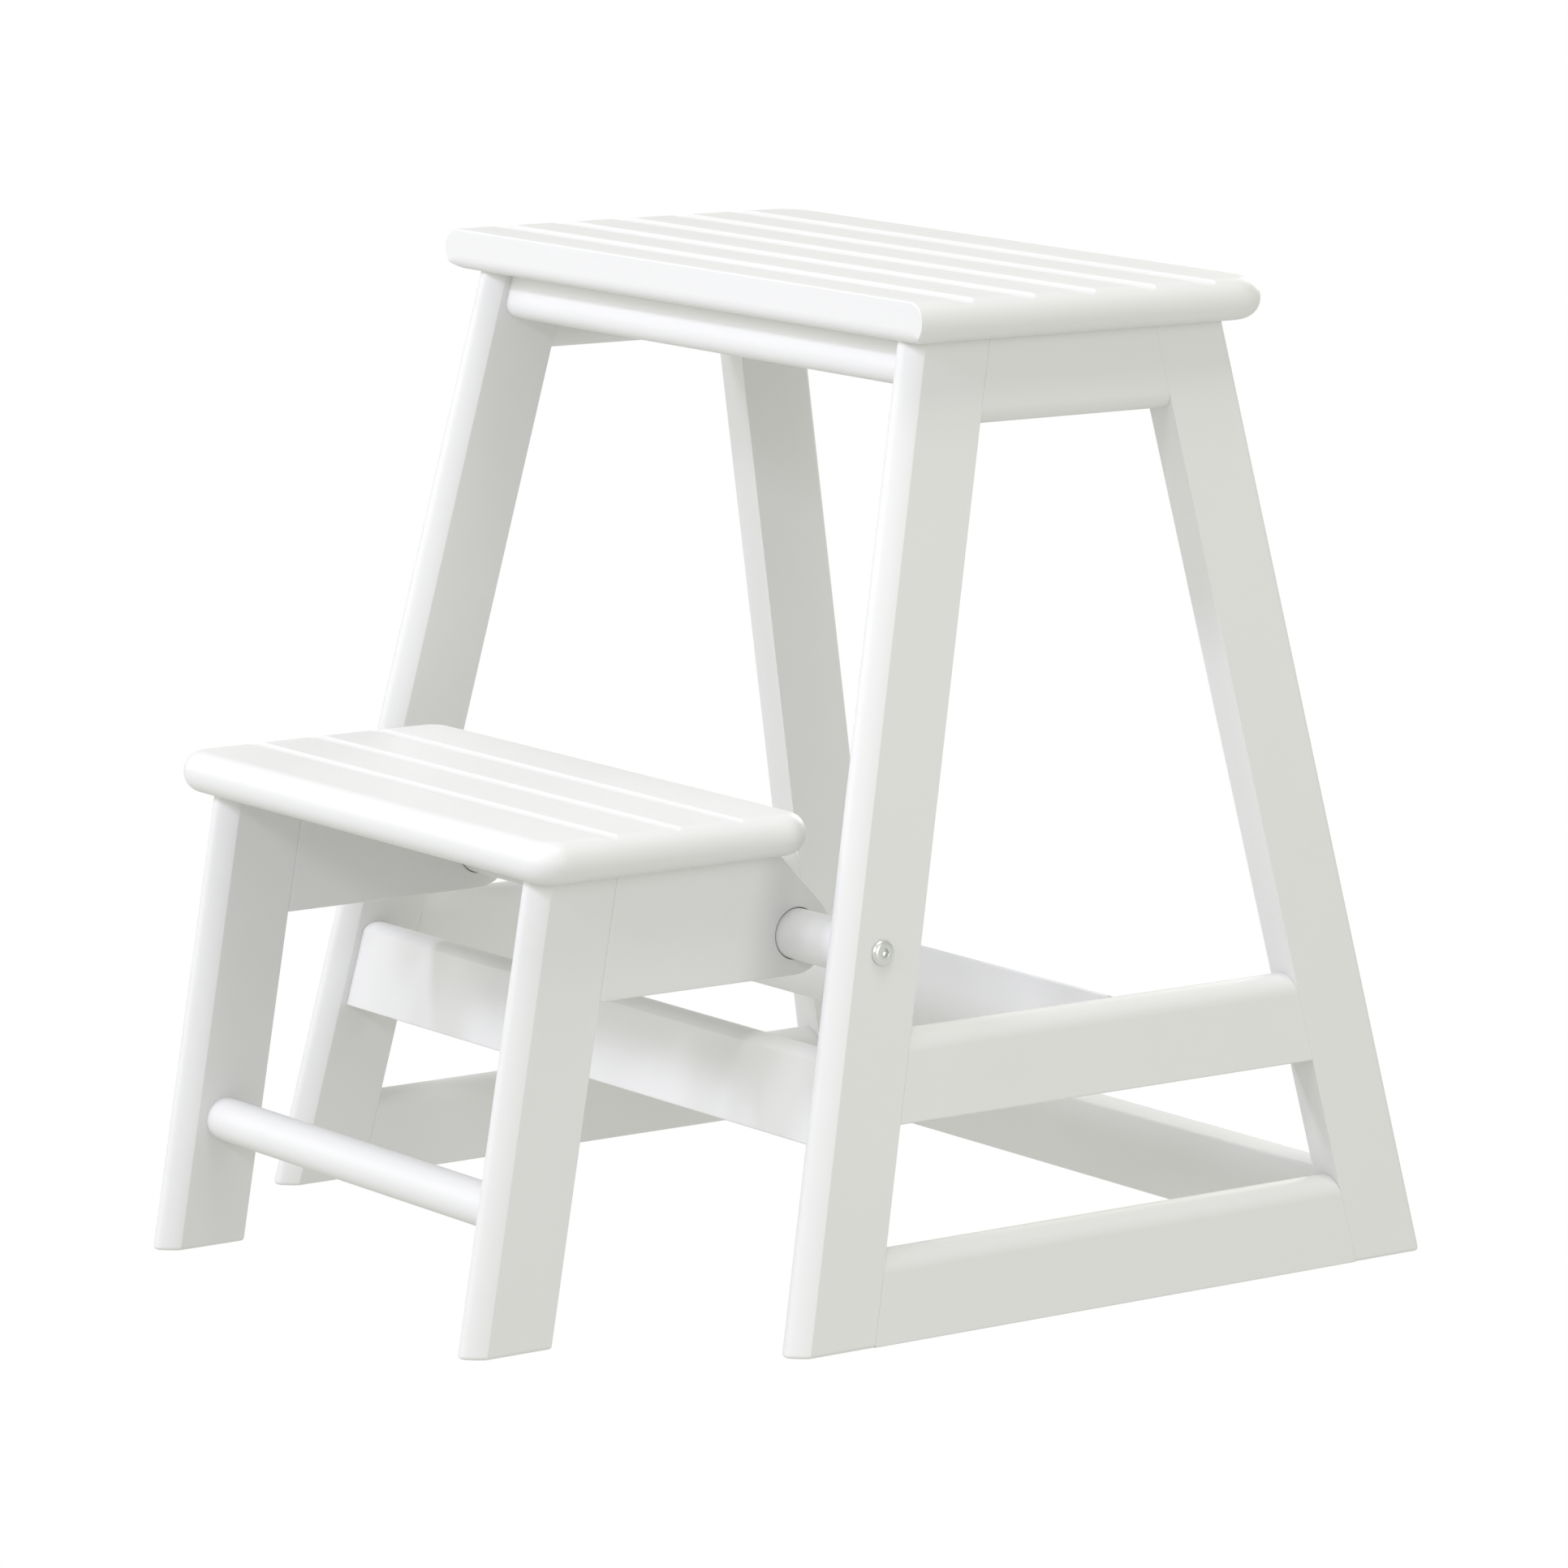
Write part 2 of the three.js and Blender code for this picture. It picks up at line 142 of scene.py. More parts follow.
print("front legs' feet at depth", round(FOOT_Y, 4), "and the hinge at", round(PIVOT_Y, 4), PIVOT_Z)

# %% [markdown]
# ## Profiles
# Nearly every piece is a board: one closed profile carried along a straight path. A profile is kept
# as a list of arcs, each with a centre, a radius and the angles where it starts and ends, and the
# straight sides are simply the jumps from one arc to the next. That makes an eased arris one more
# arc. A twin point close to each end of a straight side keeps smooth shading from bending over the
# flat, which a Weighted Normal modifier could do too, but the twins also survive an export.

# %% From arcs to a profile
TWIN = 0.3 * MM
ARRIS = 0.8 * MM
JOINT_ARRIS = 0.25 * MM  # where two boards are sanded flush
LEAST_RADIUS = 0.02 * MM  # an arc that is moved in never shrinks below this


def profile_of(arcs, steps=5):
    """Closed profile through arcs (centre u, centre v, radius, first angle, last angle), in degrees
    and counter-clockwise. A point is its arc's centre plus the radius along its angle."""
    cu, cv, radius, first, last = np.array(arcs, float).T
    turn = np.radians(first[:, None] + (last - first)[:, None] * np.linspace(0, 1, steps + 1))
    around = np.stack([np.cos(turn), np.sin(turn)], -1)
    points = np.stack([cu, cv], -1)[:, None] + radius[:, None, None] * around
    side = np.roll(points[:, 0], -1, 0) - points[:, -1]
    length = np.maximum(np.linalg.norm(side, axis=1, keepdims=True), 1e-9)
    share = np.minimum(TWIN / length, 0.25)
    twins = points[:, -1:] + side[:, None] * np.stack([share, 1 - share], 1)
    return np.concatenate([points, twins], 1).reshape(-1, 2)


def corner_arcs(corners, inset=0.0):
    """Arcs of a polygon with corners (u, v, radius), counter-clockwise, with every side moved in by
    inset. An arc's centre lies on the corner's bisector, at radius / sin(half the corner)."""
    u, v, radius = np.array(corners, float).T
    corner = np.stack([u, v], -1)
    ahead = np.roll(corner, -1, 0) - corner
    ahead /= np.linalg.norm(ahead, axis=1, keepdims=True)
    behind = -np.roll(ahead, 1, 0)
    half = np.arccos(np.sum(ahead * behind, 1)) / 2
    bisector = (ahead + behind) / np.linalg.norm(ahead + behind, axis=1, keepdims=True)
    left = np.maximum(radius - inset, LEAST_RADIUS)
    centre = corner + bisector * ((inset + left) / np.sin(half))[:, None]
    last = np.degrees(np.arctan2(ahead[:, 1], ahead[:, 0])) - 90
    first = np.roll(last, 1)
    return np.stack([centre[:, 0], centre[:, 1], left, first, first + (last - first) % 360], 1)


# %% [markdown]
# ## From a grid of points to a mesh
# A surface worked out with numpy is a grid: rows along the piece and columns around it. The mesh
# needs the points and, for each cell, the four corners' numbers, which come from one array of
# numbers shifted by a row and by a column. Points that fall together, as at a pole in the middle of
# an end, are merged afterwards, and the faces are then turned to look outwards.

# %% Make a mesh from grids
SAME_POINT = 0.002 * MM


def cells(index, around=False):
    """Four corner numbers for each cell of a grid of point numbers. With around, the last column
    joins the first."""
    if around:
        index = np.concatenate([index, index[:, :1]], 1)
    corners = [index[:-1, :-1], index[:-1, 1:], index[1:, 1:], index[1:, :-1]]
    return np.stack(corners, -1).reshape(-1, 4)


def make_piece(coat, node, body, points, faces, finish):
    """Puts points and faces into a mesh, merges what falls together, turns the faces outwards and
    sets the piece on its body in place of its CAD node. coat is the first word of its name."""
    name = f"{coat}_{node}"
    mesh = bpy.data.meshes.new(name)
    mesh.from_pydata(np.asarray(points, float).reshape(-1, 3).tolist(), [], faces)
    work = bmesh.new()
    work.from_mesh(mesh)
    bmesh.ops.remove_doubles(work, verts=work.verts, dist=SAME_POINT)
    bmesh.ops.recalc_face_normals(work, faces=work.faces)
    work.to_mesh(mesh)
    work.free()
    mesh.shade_smooth()
    mesh.materials.append(finish)
    piece = bpy.data.objects.new(name, mesh)
    bpy.context.scene.collection.objects.link(piece)
    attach(piece, body)
    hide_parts(node)
    print(name, "-", len(mesh.vertices), "points,", len(mesh.polygons), "faces")
    return piece


# %% [markdown]
# A board is its profile carried from one end to the other. Blender can do that with a curve and a
# bevel object, but a curve's end is always cut square and sharp. Here every end is a function that
# says where a point of the profile lies, so an end can slant any way, and the profile shrinks a
# little towards it in a quarter circle, as a sawn end does under sandpaper.

# %% Carry a profile between two ends
END_EASE = 0.1 * MM  # on a sawn end


def carried(outline, first, last, eases=(END_EASE, END_EASE), steps=5):
    """Points and faces of a profile carried between two ends, closed at both. outline(inset) is the
    profile with its sides moved in, and first(u, v, a) and last(u, v, a) are the points that lie a
    inside each end. The end's edge is a quarter circle: moved in by ease * (1 - sin t) at a depth
    of ease * (1 - cos t)."""
    rows = []
    for place, ease in ((first, eases[0]), (last, eases[1])):
        t = np.linspace(0, np.pi / 2, steps + 1)
        insets = np.concatenate([[ease + TWIN], ease * (1 - np.sin(t)), [0]])
        depths = np.concatenate([[0], ease * (1 - np.cos(t)), [ease + TWIN]])
        loops = np.stack([outline(inset) for inset in insets])
        middle = np.broadcast_to(loops[0].mean(0), loops[:1].shape)
        loops = np.concatenate([middle, loops])
        depths = np.concatenate([[0], depths])[:, None]
        rows.append(place(loops[..., 0], loops[..., 1], depths))
    points = np.concatenate([rows[0], rows[1][::-1]])
    index = np.arange(points[..., 0].size).reshape(points.shape[:2])
    return points, cells(index, around=True).tolist()


def stacked(x, y, z):
    """x, y and z brought to one shape and stacked into points."""
    return np.stack(np.broadcast_arrays(x, y, z), -1)


# %% [markdown]
# ## White paint on wood
# The finish is a water-based satin enamel, sprayed or rolled over primed beech or rubberwood. To
# the eye it is an even neutral white with a soft broad sheen. In Blender a finish is a tree of
# nodes. It could be drawn in the Shader Editor, but a helper that adds one node keeps it in text.

# %% Colours and one helper for nodes
def linear(code):
    """Linear red, green, blue and 1 of an sRGB hex colour: each share is divided by 12.92 below
    0.04045, and otherwise ((share + 0.055) / 1.055) to the power 2.4."""
    share = np.array([int(code[i:i + 2], 16) for i in (0, 2, 4)]) / 255
    low, high = share / 12.92, ((share + 0.055) / 1.055) ** 2.4
    return (*np.where(share <= 0.04045, low, high).tolist(), 1.0)


def add(tree, kind, settings=None, links=None):
    """Adds one node. settings go to its own fields or, by name or number, to its inputs' values,
    and links join an input to another node's output."""
    node = tree.nodes.new(kind)
    for key, value in (settings or {}).items():
        if isinstance(key, str) and hasattr(node, key):
            setattr(node, key, value)
        else:
            node.inputs[key].default_value = value
    for key, output in (links or {}).items():
        tree.links.new(output, node.inputs[key])
    return node


def new_finish(name):
    """An empty node material with its output and main shader, and its tree."""
    finish = bpy.data.materials.new(name)
    finish.use_nodes = True
    tree = finish.node_tree
    tree.nodes.clear()
    shader = add(tree, "ShaderNodeBsdfPrincipled")
    add(tree, "ShaderNodeOutputMaterial", links={"Surface": shader.outputs["BSDF"]})
    return finish, tree, shader


# %% [markdown]
# Close up, the grain lifts the film into faint long ridges, and the film itself has a fine stipple.
# A picture could carry that, but noise in the piece's own coordinates is cheaper, has no seam and
# holds at any distance. The grain runs along each board, so the paint is made three times, once for
# each direction of the boards.

# %% Satin enamel, once for each direction of the grain
GRAIN_WIDTH = 2.6 * MM  # real vessels are 0.1 mm wide; drawn wider, or the render can't show them
GRAIN_LENGTH = 90 * MM
STIPPLE = 1.6 * MM  # a roller leaves about 1 mm
CLOUD = 70 * MM  # where the film is a little thicker or thinner
GRAIN_LIFT, STIPPLE_LIFT = 0.012 * MM, 0.006 * MM


def satin_enamel(name, along):
    """White satin enamel whose grain runs along axis 0, 1 or 2 of the object."""
    finish, tree, shader = new_finish(name)
    place = add(tree, "ShaderNodeTexCoord").outputs["Object"]
    stretch = [1 / GRAIN_WIDTH] * 3
    stretch[along] = 1 / GRAIN_LENGTH
    run = add(tree, "ShaderNodeMapping", {"Scale": stretch}, {"Vector": place})
    grain = add(tree, "ShaderNodeTexNoise", {"Scale": 1.0, "Detail": 3.0, "Roughness": 0.55},
                {"Vector": run.outputs["Vector"]})
    stipple = add(tree, "ShaderNodeTexNoise", {"Scale": 1 / STIPPLE, "Detail": 2.0},
                  {"Vector": place})
    cloud = add(tree, "ShaderNodeTexNoise", {"Scale": 1 / CLOUD, "Detail": 2.0}, {"Vector": place})
    thin, thick = linear("e1e1e1"), linear("e4e4e4")
    tint = add(tree, "ShaderNodeMix", {"data_type": "RGBA", 6: thick, 7: thin},
               {0: cloud.outputs["Fac"]})
    sheen = add(tree, "ShaderNodeMapRange", {"To Min": 0.40, "To Max": 0.50},
                {"Value": grain.outputs["Fac"]})
    ridges = add(tree, "ShaderNodeBump", {"Strength": 1.0, "Distance": GRAIN_LIFT},
                 {"Height": grain.outputs["Fac"]})
    film = add(tree, "ShaderNodeBump", {"Strength": 1.0, "Distance": STIPPLE_LIFT},
               {"Height": stipple.outputs["Fac"], "Normal": ridges.outputs["Normal"]})
    tree.links.new(tint.outputs[2], shader.inputs["Base Color"])
    tree.links.new(sheen.outputs["Result"], shader.inputs["Roughness"])
    tree.links.new(film.outputs["Normal"], shader.inputs["Normal"])
    shader.inputs["IOR"].default_value = 1.5
    return finish


paint_across = satin_enamel("satin_enamel_grain_across", 0)
paint_deep = satin_enamel("satin_enamel_grain_front_to_back", 1)
paint_upright = satin_enamel("satin_enamel_grain_upright", 2)
print("finishes:", [m.name for m in (paint_across, paint_deep, paint_upright)])

# %% [markdown]
# ## Legs
# A leg is a board on edge. A front leg's outer edge is worked to a bold arch, round at the crown
# and nearly flat down its two flanks, so light falls off it in three bands up to a crisp arris. A
# rear leg's arch is one low circle. A spline could follow either shape, but circles that touch
# each other need fewer numbers.

# %% Section of a board with an arched edge
def arched_arcs(width, rise, back_arris, crown_share, inset=0.0):
    """Arcs of a board's section on edge, arched towards -v by rise, with its sides moved in by
    inset. The crown is a circle of half * half / (2 * rise), which is the tip of a parabola through
    both arrises, and at crown_share of the parabola's end slope each flank takes over: a larger
    circle that touches the crown and ends in the arris. With a share of 0 the flanks are one plain
    circle. The arris is a small circle that touches the flank and the flat side."""
    half = BOARD / 2
    crown = half**2 / (2 * rise)
    turn = math.atan(2 * rise / half) * crown_share
    across, down = math.sin(turn), -math.cos(turn)
    toward = half * across + (rise - crown) * down
    squared = half**2 + (rise - crown)**2
    flank = (squared + crown**2 - 2 * crown * toward) / (2 * (crown - toward))
    flank_u, flank_v = -(flank - crown) * across, crown - rise - (flank - crown) * down

    ease = max(ARRIS - inset, LEAST_RADIUS)
    back = max(back_arris - inset, LEAST_RADIUS)
    u = half - inset - ease
    reach = flank - inset - ease
    v = flank_v - math.sqrt(reach**2 - (u - flank_u)**2)
    end = math.degrees(math.asin((u - flank_u) / reach))
    turn = math.degrees(turn)
    u_back, v_back = half - inset - back, width - inset - back
    return [
        (-flank_u, flank_v, flank - inset, 270 - end, 270 - turn),
        (0, crown - rise, crown - inset, 270 - turn, 270 + turn),
        (flank_u, flank_v, flank - inset, 270 + turn, 270 + end),
        (u, v, ease, end - 90, 0),
        (u_back, v_back, back, 0, 90),
        (-u_back, v_back, back, 90, 180),
        (-u, v, ease, 180, 270 - end),
    ]


# %% [markdown]
# The section stays level, and it is carried up a slanting path: each height moves it in by the lean
# and back by the rake, so the top ends level under the seat. A straight board turned to the same
# slant would stand on one corner. The foot is rounded over so that it doesn't splinter.

# %% Four frame legs
FRONT_LEG_ARCH, REAR_LEG_ARCH = 8.3 * MM, 5.4 * MM
FLANKED_SHARE = 2 / 3  # of the slope, where a front arch's flanks take over from its crown
FOOT_EASE, TOP_EASE = 1.8 * MM, 0.3 * MM


def leg(node, body, width, arch, height, middle, lean, edge, facing):
    """One leg: the section at height z is centred at middle - lean * z across, and the arrises of
    its arched edge are at depth edge(z), facing the front with -1 or the back with 1. Only an arch
    that faces the front has flatter flanks."""
    share = FLANKED_SHARE if facing < 0 else 0

    def at(z_of):
        def place(u, v, a):
            z = z_of(a)
            return stacked(middle - lean * z + u, edge(z) - facing * v, z)
        return place

    points, faces = carried(
        lambda inset: profile_of(arched_arcs(width, arch, JOINT_ARRIS, share, inset), 8),
        at(lambda a: a), at(lambda a: height - a), (FOOT_EASE, TOP_EASE), 6)
    return make_piece("painted", node, body, points, faces, paint_upright)


for side, hand in SIDES:
    middle = side * (FLOOR_WIDTH - BOARD) / 2
    leg(f"front_leg_{hand}", "frame", FRONT_LEG_WIDTH, FRONT_LEG_ARCH, LEG_TOP - GLUE_LINE,
        middle, side * LEAN, front_leg_front, -1)
    leg(f"rear_leg_{hand}", "frame", REAR_LEG_WIDTH, REAR_LEG_ARCH, LEG_TOP - GLUE_LINE,
        middle, side * LEAN, rear_leg_back, 1)

# %% [markdown]
# ## Side rails
# Three rails join each front leg to its rear leg, all flush with the legs. The edge that shows is
# worked to a full half round: the lower edge of the top rail, the upper edge of the other two. The
# profile stands in width and height, and it is carried from the front leg's back edge to the rear
# leg's front edge. Both ends slant, so the end's depth is a function of height.

# %% Six side rails
NOSE = 0.49  # a half round's radius as a share of the thickness
TOP_RAIL_HEIGHT = 40.5 * MM
MIDDLE_RAIL_BOTTOM, MIDDLE_RAIL_HEIGHT = 101.3 * MM, 42.2 * MM
BOTTOM_RAIL_HEIGHT = 42.8 * MM


def side_rail(node, side, low, high, low_round, high_round):
    """One side rail, between heights low and high, with its lower and upper edges rounded."""
    half = BOARD / 2
    corners = [(-half, low, low_round), (half, low, low_round),
               (half, high, high_round), (-half, high, high_round)]

    def at(depth_of):
        def place(u, v, a):
            return stacked(side * (outer_face(v) - half) + u, depth_of(v, a), v)
        return place

    points, faces = carried(
        lambda inset: profile_of(corner_arcs(corners, inset), 10),
        at(lambda v, a: front_leg_front(v) + FRONT_LEG_WIDTH + GLUE_LINE + a),
        at(lambda v, a: rear_leg_back(v) - REAR_LEG_WIDTH - GLUE_LINE - a))
    return make_piece("painted", node, "frame", points, faces, paint_deep)


for side, hand in SIDES:
    side_rail(f"top_side_rail_{hand}", side, LEG_TOP - TOP_RAIL_HEIGHT, LEG_TOP - GLUE_LINE,
              NOSE * BOARD, ARRIS)
    side_rail(f"middle_side_rail_{hand}", side, MIDDLE_RAIL_BOTTOM,
              MIDDLE_RAIL_BOTTOM + MIDDLE_RAIL_HEIGHT, ARRIS, NOSE * BOARD)
    side_rail(f"bottom_side_rail_{hand}", side, 0.0, BOTTOM_RAIL_HEIGHT, ARRIS, NOSE * BOARD)

# %% [markdown]
# ## Cross rails
# Five rails tie the two side frames together, each carried across between the leaning inner faces.
# A Bevel modifier would round every edge alike, so the profiles are drawn instead.

# %% Outlines of the cross rails
FRONT_RAIL_INSET, REAR_RAIL_INSET = 3.5 * MM, 10 * MM
LOWER_RAIL_SHOULDER, LOWER_RAIL_ARCH = 38 * MM, 5.4 * MM


def cross_rail(node, outline):
    """One cross rail. outline(inset) is its profile in depth and height."""
    def at(side):
        return lambda u, v, a: stacked(side * (inner_face(v) - GLUE_LINE - a), u, v)

    points, faces = carried(outline, at(-1), at(1))
    return make_piece("painted", node, "frame", points, faces, paint_across)


def raked_corners(low, high, front, rounds):
    """Corners of a rail between two heights. front(z) is its front face's depth, and rounds has the
    radii of the low front, low back, high back and high front edges."""
    return [(front(low), low, rounds[0]), (front(low) + BOARD, low, rounds[1]),
            (front(high) + BOARD, high, rounds[2]), (front(high), high, rounds[3])]


def front_rail_face(z):
    """Depth of the front rails' front face: just behind the front legs' front arris."""
    return front_leg_front(z) + FRONT_RAIL_INSET


def rear_rail_face(z):
    """Depth of the rear rails' front face: behind the rear legs' front edge."""
    return rear_leg_back(z) - REAR_LEG_WIDTH + REAR_RAIL_INSET


def arched_rail(low):
    """Outline of the lower front rail: the leg's section turned by the rake about the arris of its
    arch. A point u across the board and v down it lies at u * (cos, -sin) - v * (sin, cos)."""
    rake = math.atan(FRONT_RAKE)
    top = low + LOWER_RAIL_SHOULDER
    width = LOWER_RAIL_SHOULDER / math.cos(rake)

    def outline(inset):
        u, v = profile_of(arched_arcs(width, LOWER_RAIL_ARCH, ARRIS, 0, inset), 8).T
        u = u + BOARD / 2
        return np.stack([front_rail_face(top) + u * math.cos(rake) - v * math.sin(rake),
                         top - u * math.sin(rake) - v * math.cos(rake)], -1)
    return outline


def polygon(corners):
    """Outline of a rail with the given corners."""
    return lambda inset: profile_of(corner_arcs(corners, inset), 8)


# %% [markdown]
# The upper front rail has its lower edge rounded over. The lower front rail is a rear leg's board
# laid across: its upper edge has the same arch, and it stands square to the rake. The rail that the
# folded step comes to rest on has a top that falls away to the back, so that the tread meets one
# clean line.

# %% Five cross rails
FRONT_ROUND = 0.44 * BOARD
UPPER_RAIL_HEIGHT, LOWER_RAIL_HEIGHT, FOOT_RAIL_HEIGHT = 23.5 * MM, 45 * MM, 41.5 * MM
LOWER_RAIL_DROP = 43.5 * MM  # from the hinge to the top of the lower front rail
REST_RAIL_DEPTH, REST_RAIL_HEIGHT = 200 * MM, 41.7 * MM
REST_RAIL_FALL, REST_RAIL_ROUND = 7 * MM, 5 * MM

upper_rounds, plain = [FRONT_ROUND, FRONT_ROUND, ARRIS, ARRIS], [ARRIS] * 4
upper_low, upper_high = LEG_TOP - UPPER_RAIL_HEIGHT, LEG_TOP - GLUE_LINE
lower_low = PIVOT_Z - LOWER_RAIL_DROP - LOWER_RAIL_HEIGHT
rest_front, rest_top = FOOT_Y + REST_RAIL_DEPTH, MIDDLE_RAIL_BOTTOM + REST_RAIL_HEIGHT
rest_corners = [(rest_front, MIDDLE_RAIL_BOTTOM, ARRIS),
                (rest_front + BOARD, MIDDLE_RAIL_BOTTOM, ARRIS),
                (rest_front + BOARD, rest_top - REST_RAIL_FALL, REST_RAIL_ROUND),
                (rest_front, rest_top, ARRIS)]
for node, outline in (
        ("front_upper_cross_rail",
         polygon(raked_corners(upper_low, upper_high, front_rail_face, upper_rounds))),
        ("front_lower_cross_rail", arched_rail(lower_low)),
        ("rear_upper_cross_rail",
         polygon(raked_corners(upper_low, upper_high, rear_rail_face, plain))),
        ("rear_foot_cross_rail",
         polygon(raked_corners(0.0, FOOT_RAIL_HEIGHT, rear_rail_face, plain))),
        ("step_rest_rail", polygon(rest_corners))):
    cross_rail(node, outline)

# %% [markdown]
# ## Grooved boards
# The seat and the tread are single boards. Their outer edges are worked to a full half round, and
# long round grooves make their tops look like slats. A Boolean of cylinders would leave ragged
# faces where a groove runs out through the rounded end, and that is the very place the eye goes to.
# So the top is one grid whose columns follow the grooves' own edges. Rows and columns that reach
# past a corner's centre bend into quarter circles there, and past the flat they fall away as the
# round edge does. The bottom is the same grid without grooves.

# %% Grid lines of a grooved board
def edge_stations(corner, nose, groove_depth, steps=9):
    """Distances out from a corner's centre, and how far the top has fallen there: level to the end
    of the flat, then nose * sin t out and nose * (1 - cos t) down. The first of the falling lines
    are spaced so that a groove of that depth narrows evenly until it runs out."""
    run_out = groove_depth * np.sin(np.linspace(0, np.pi / 2, steps + 1)[1:]) ** 2
    t = np.arccos(1 - run_out / nose)
    t = np.concatenate([t, np.linspace(t[-1], np.pi / 2, steps + 3)[1:]])
    flat = corner * np.array([0.25, 0.5, 0.75, 1.0])
    flat = np.concatenate([flat[:-1], [corner - TWIN, corner]])
    out = np.concatenate([[0], flat, corner + nose * np.sin(t)])
    fall = np.concatenate([np.zeros(len(flat) + 1), nose * (1 - np.cos(t))])
    return out, fall


def stretched(stations, lines, both_ends=True):
    """Grid lines in one direction: the stations on the flat, then as many lines that start at the
    last one and reach past it, and with both_ends as many before the first one. Gives each line's
    start, how many lines it is past its start, and the side that it reaches to."""
    start = np.concatenate([stations, np.full(lines, stations[-1])])
    past = np.concatenate([np.zeros(len(stations), int), np.arange(1, lines + 1)])
    side = np.ones(len(start))
    if both_ends:
        start = np.concatenate([np.full(lines, stations[0]), start])
        past = np.concatenate([np.arange(lines, 0, -1), past])
        side = np.concatenate([-np.ones(lines), side])
    return start, past, side


def bend(across, deep, out):
    """Grid points in plan, from the lines across and the lines in depth. Of a point's two counts of
    lines, p across and q in depth, the larger picks the distance out, and their ratio the angle:
    45 degrees times q / p, or times 2 - p / q where q is larger."""
    start_x, p, side_x = (values[:, None] for values in across)
    start_y, q, side_y = (values[None] for values in deep)
    ring = np.maximum(p, q)
    turn = np.where(p >= q, q / np.maximum(p, 1), 2 - p / np.maximum(q, 1)) * np.pi / 4
    x = start_x + side_x * out[ring] * np.cos(turn)
    y = start_y + side_y * out[ring] * np.sin(turn)
    return x, y, ring


# %% [markdown]
# The grooves' columns are the one part of the grid that moves: in each row they stand where the
# groove's edge is at that height of the rounded end. Past the run-out there is no groove left, and
# the columns fan out again over the plain edge, so that no faces are pinched.

# %% Cut the grooves
GROOVE_ARRIS = 1.0 * MM
LEAST_FAN = 0.02  # of the full width, where the columns come closest


def groove_section(depth, radius, steps=6):
    """Half a groove's section, from its outer edge in to its middle, for an array of depths: how
    far from the middle and how far down. A small circle of radius a rounds each edge. It touches
    the top and the groove's circle, so its centre is sqrt((R + a)^2 - (R - depth + a)^2) out."""
    arris = GROOVE_ARRIS
    depth = np.maximum(depth, 0)[:, None]
    out = np.sqrt(np.maximum((radius + arris) ** 2 - (radius - depth + arris) ** 2, 0))
    end = np.arccos(np.clip((radius - depth + arris) / (radius + arris), -1, 1))
    rise = end * np.linspace(0, 1, 4)
    sink = end * np.linspace(1, 0, steps + 1)[1:]
    across = np.concatenate([out - arris * np.sin(rise), radius * np.sin(sink)], 1)
    down = np.concatenate([arris * (1 - np.cos(rise)), depth - radius * (1 - np.cos(sink))], 1)
    return across, down


def cut_grooves(upper, row_fall, nose, centres, first, radius, depth):
    """Moves the grooves' columns of the top's grid, of which the first has the number first. A row
    that has fallen less than the groove's depth follows the section at the depth that is left. A
    row further down spreads its columns by the smooth step s * s * (3 - 2 s)."""
    full, _ = groove_section(np.array([depth]), radius)
    left = depth - row_fall
    across, down = groove_section(left, radius)
    s = np.clip(-left / (nose - depth), 0, 1)
    fan = np.maximum(s * s * (3 - 2 * s), LEAST_FAN)[:, None] * full
    grooved = (left > 1e-9)[:, None]
    across = np.where(grooved, np.maximum(across, 0), fan)
    down = np.where(grooved, down, 0)
    width = 2 * full.shape[1] - 1
    for number, centre in enumerate(centres):
        at = first + number * (width + 2) + np.arange(width)
        upper[:, at, 1] = centre + np.concatenate([-across, across[:, -2::-1]], 1)
        upper[:, at, 2] -= np.concatenate([down, down[:, -2::-1]], 1)


# %% [markdown]
# Once the grooves are cut, a row of faces joins the rims of top and bottom. The rims lie where the
# two halves of the round edge nearly meet, so that row is only a narrow band.

# %% Build the top and bottom of a grooved board
def grooved_board(node, body, length, front, back, top, thickness, corner, grooves, planed=0.0):
    """A board from depth front to back. grooves is (count, depth of their middle, spacing, radius,
    how deep), and planed is the radius under a flat front edge, or 0 for a half round one."""
    count, middle, spacing, radius, depth = grooves
    nose = NOSE * thickness
    out, fall = edge_stations(corner, nose, depth)
    lines = len(out) - 1
    flat_x = length / 2 - nose - corner
    flat_front = front if planed else front + nose + corner
    flat_back = back - nose - corner

    half, _ = groove_section(np.array([depth]), radius)
    land = half[0, 0] + TWIN
    own = np.concatenate([[-land], -half[0], half[0, -2::-1], [land]])
    centres = middle + (np.arange(count) - (count - 1) / 2) * spacing
    columns = np.concatenate([[flat_front], (centres[:, None] + own).ravel(), [flat_back]])

    across = stretched([-flat_x, 0, flat_x], lines)
    x, y, ring = bend(across, stretched(columns, lines, not planed), out)
    drop = fall[ring]
    upper = np.stack([x, y, top - drop], -1)
    lower = np.stack([x, y, top - thickness + drop], -1)
    first = 2 if planed else lines + 2
    cut_grooves(upper, fall[across[1]], nose, centres, first, radius, depth)
    points, faces = closed_board(upper, lower, top, thickness, front, planed)
    return make_piece("painted", node, body, points, faces, paint_across)


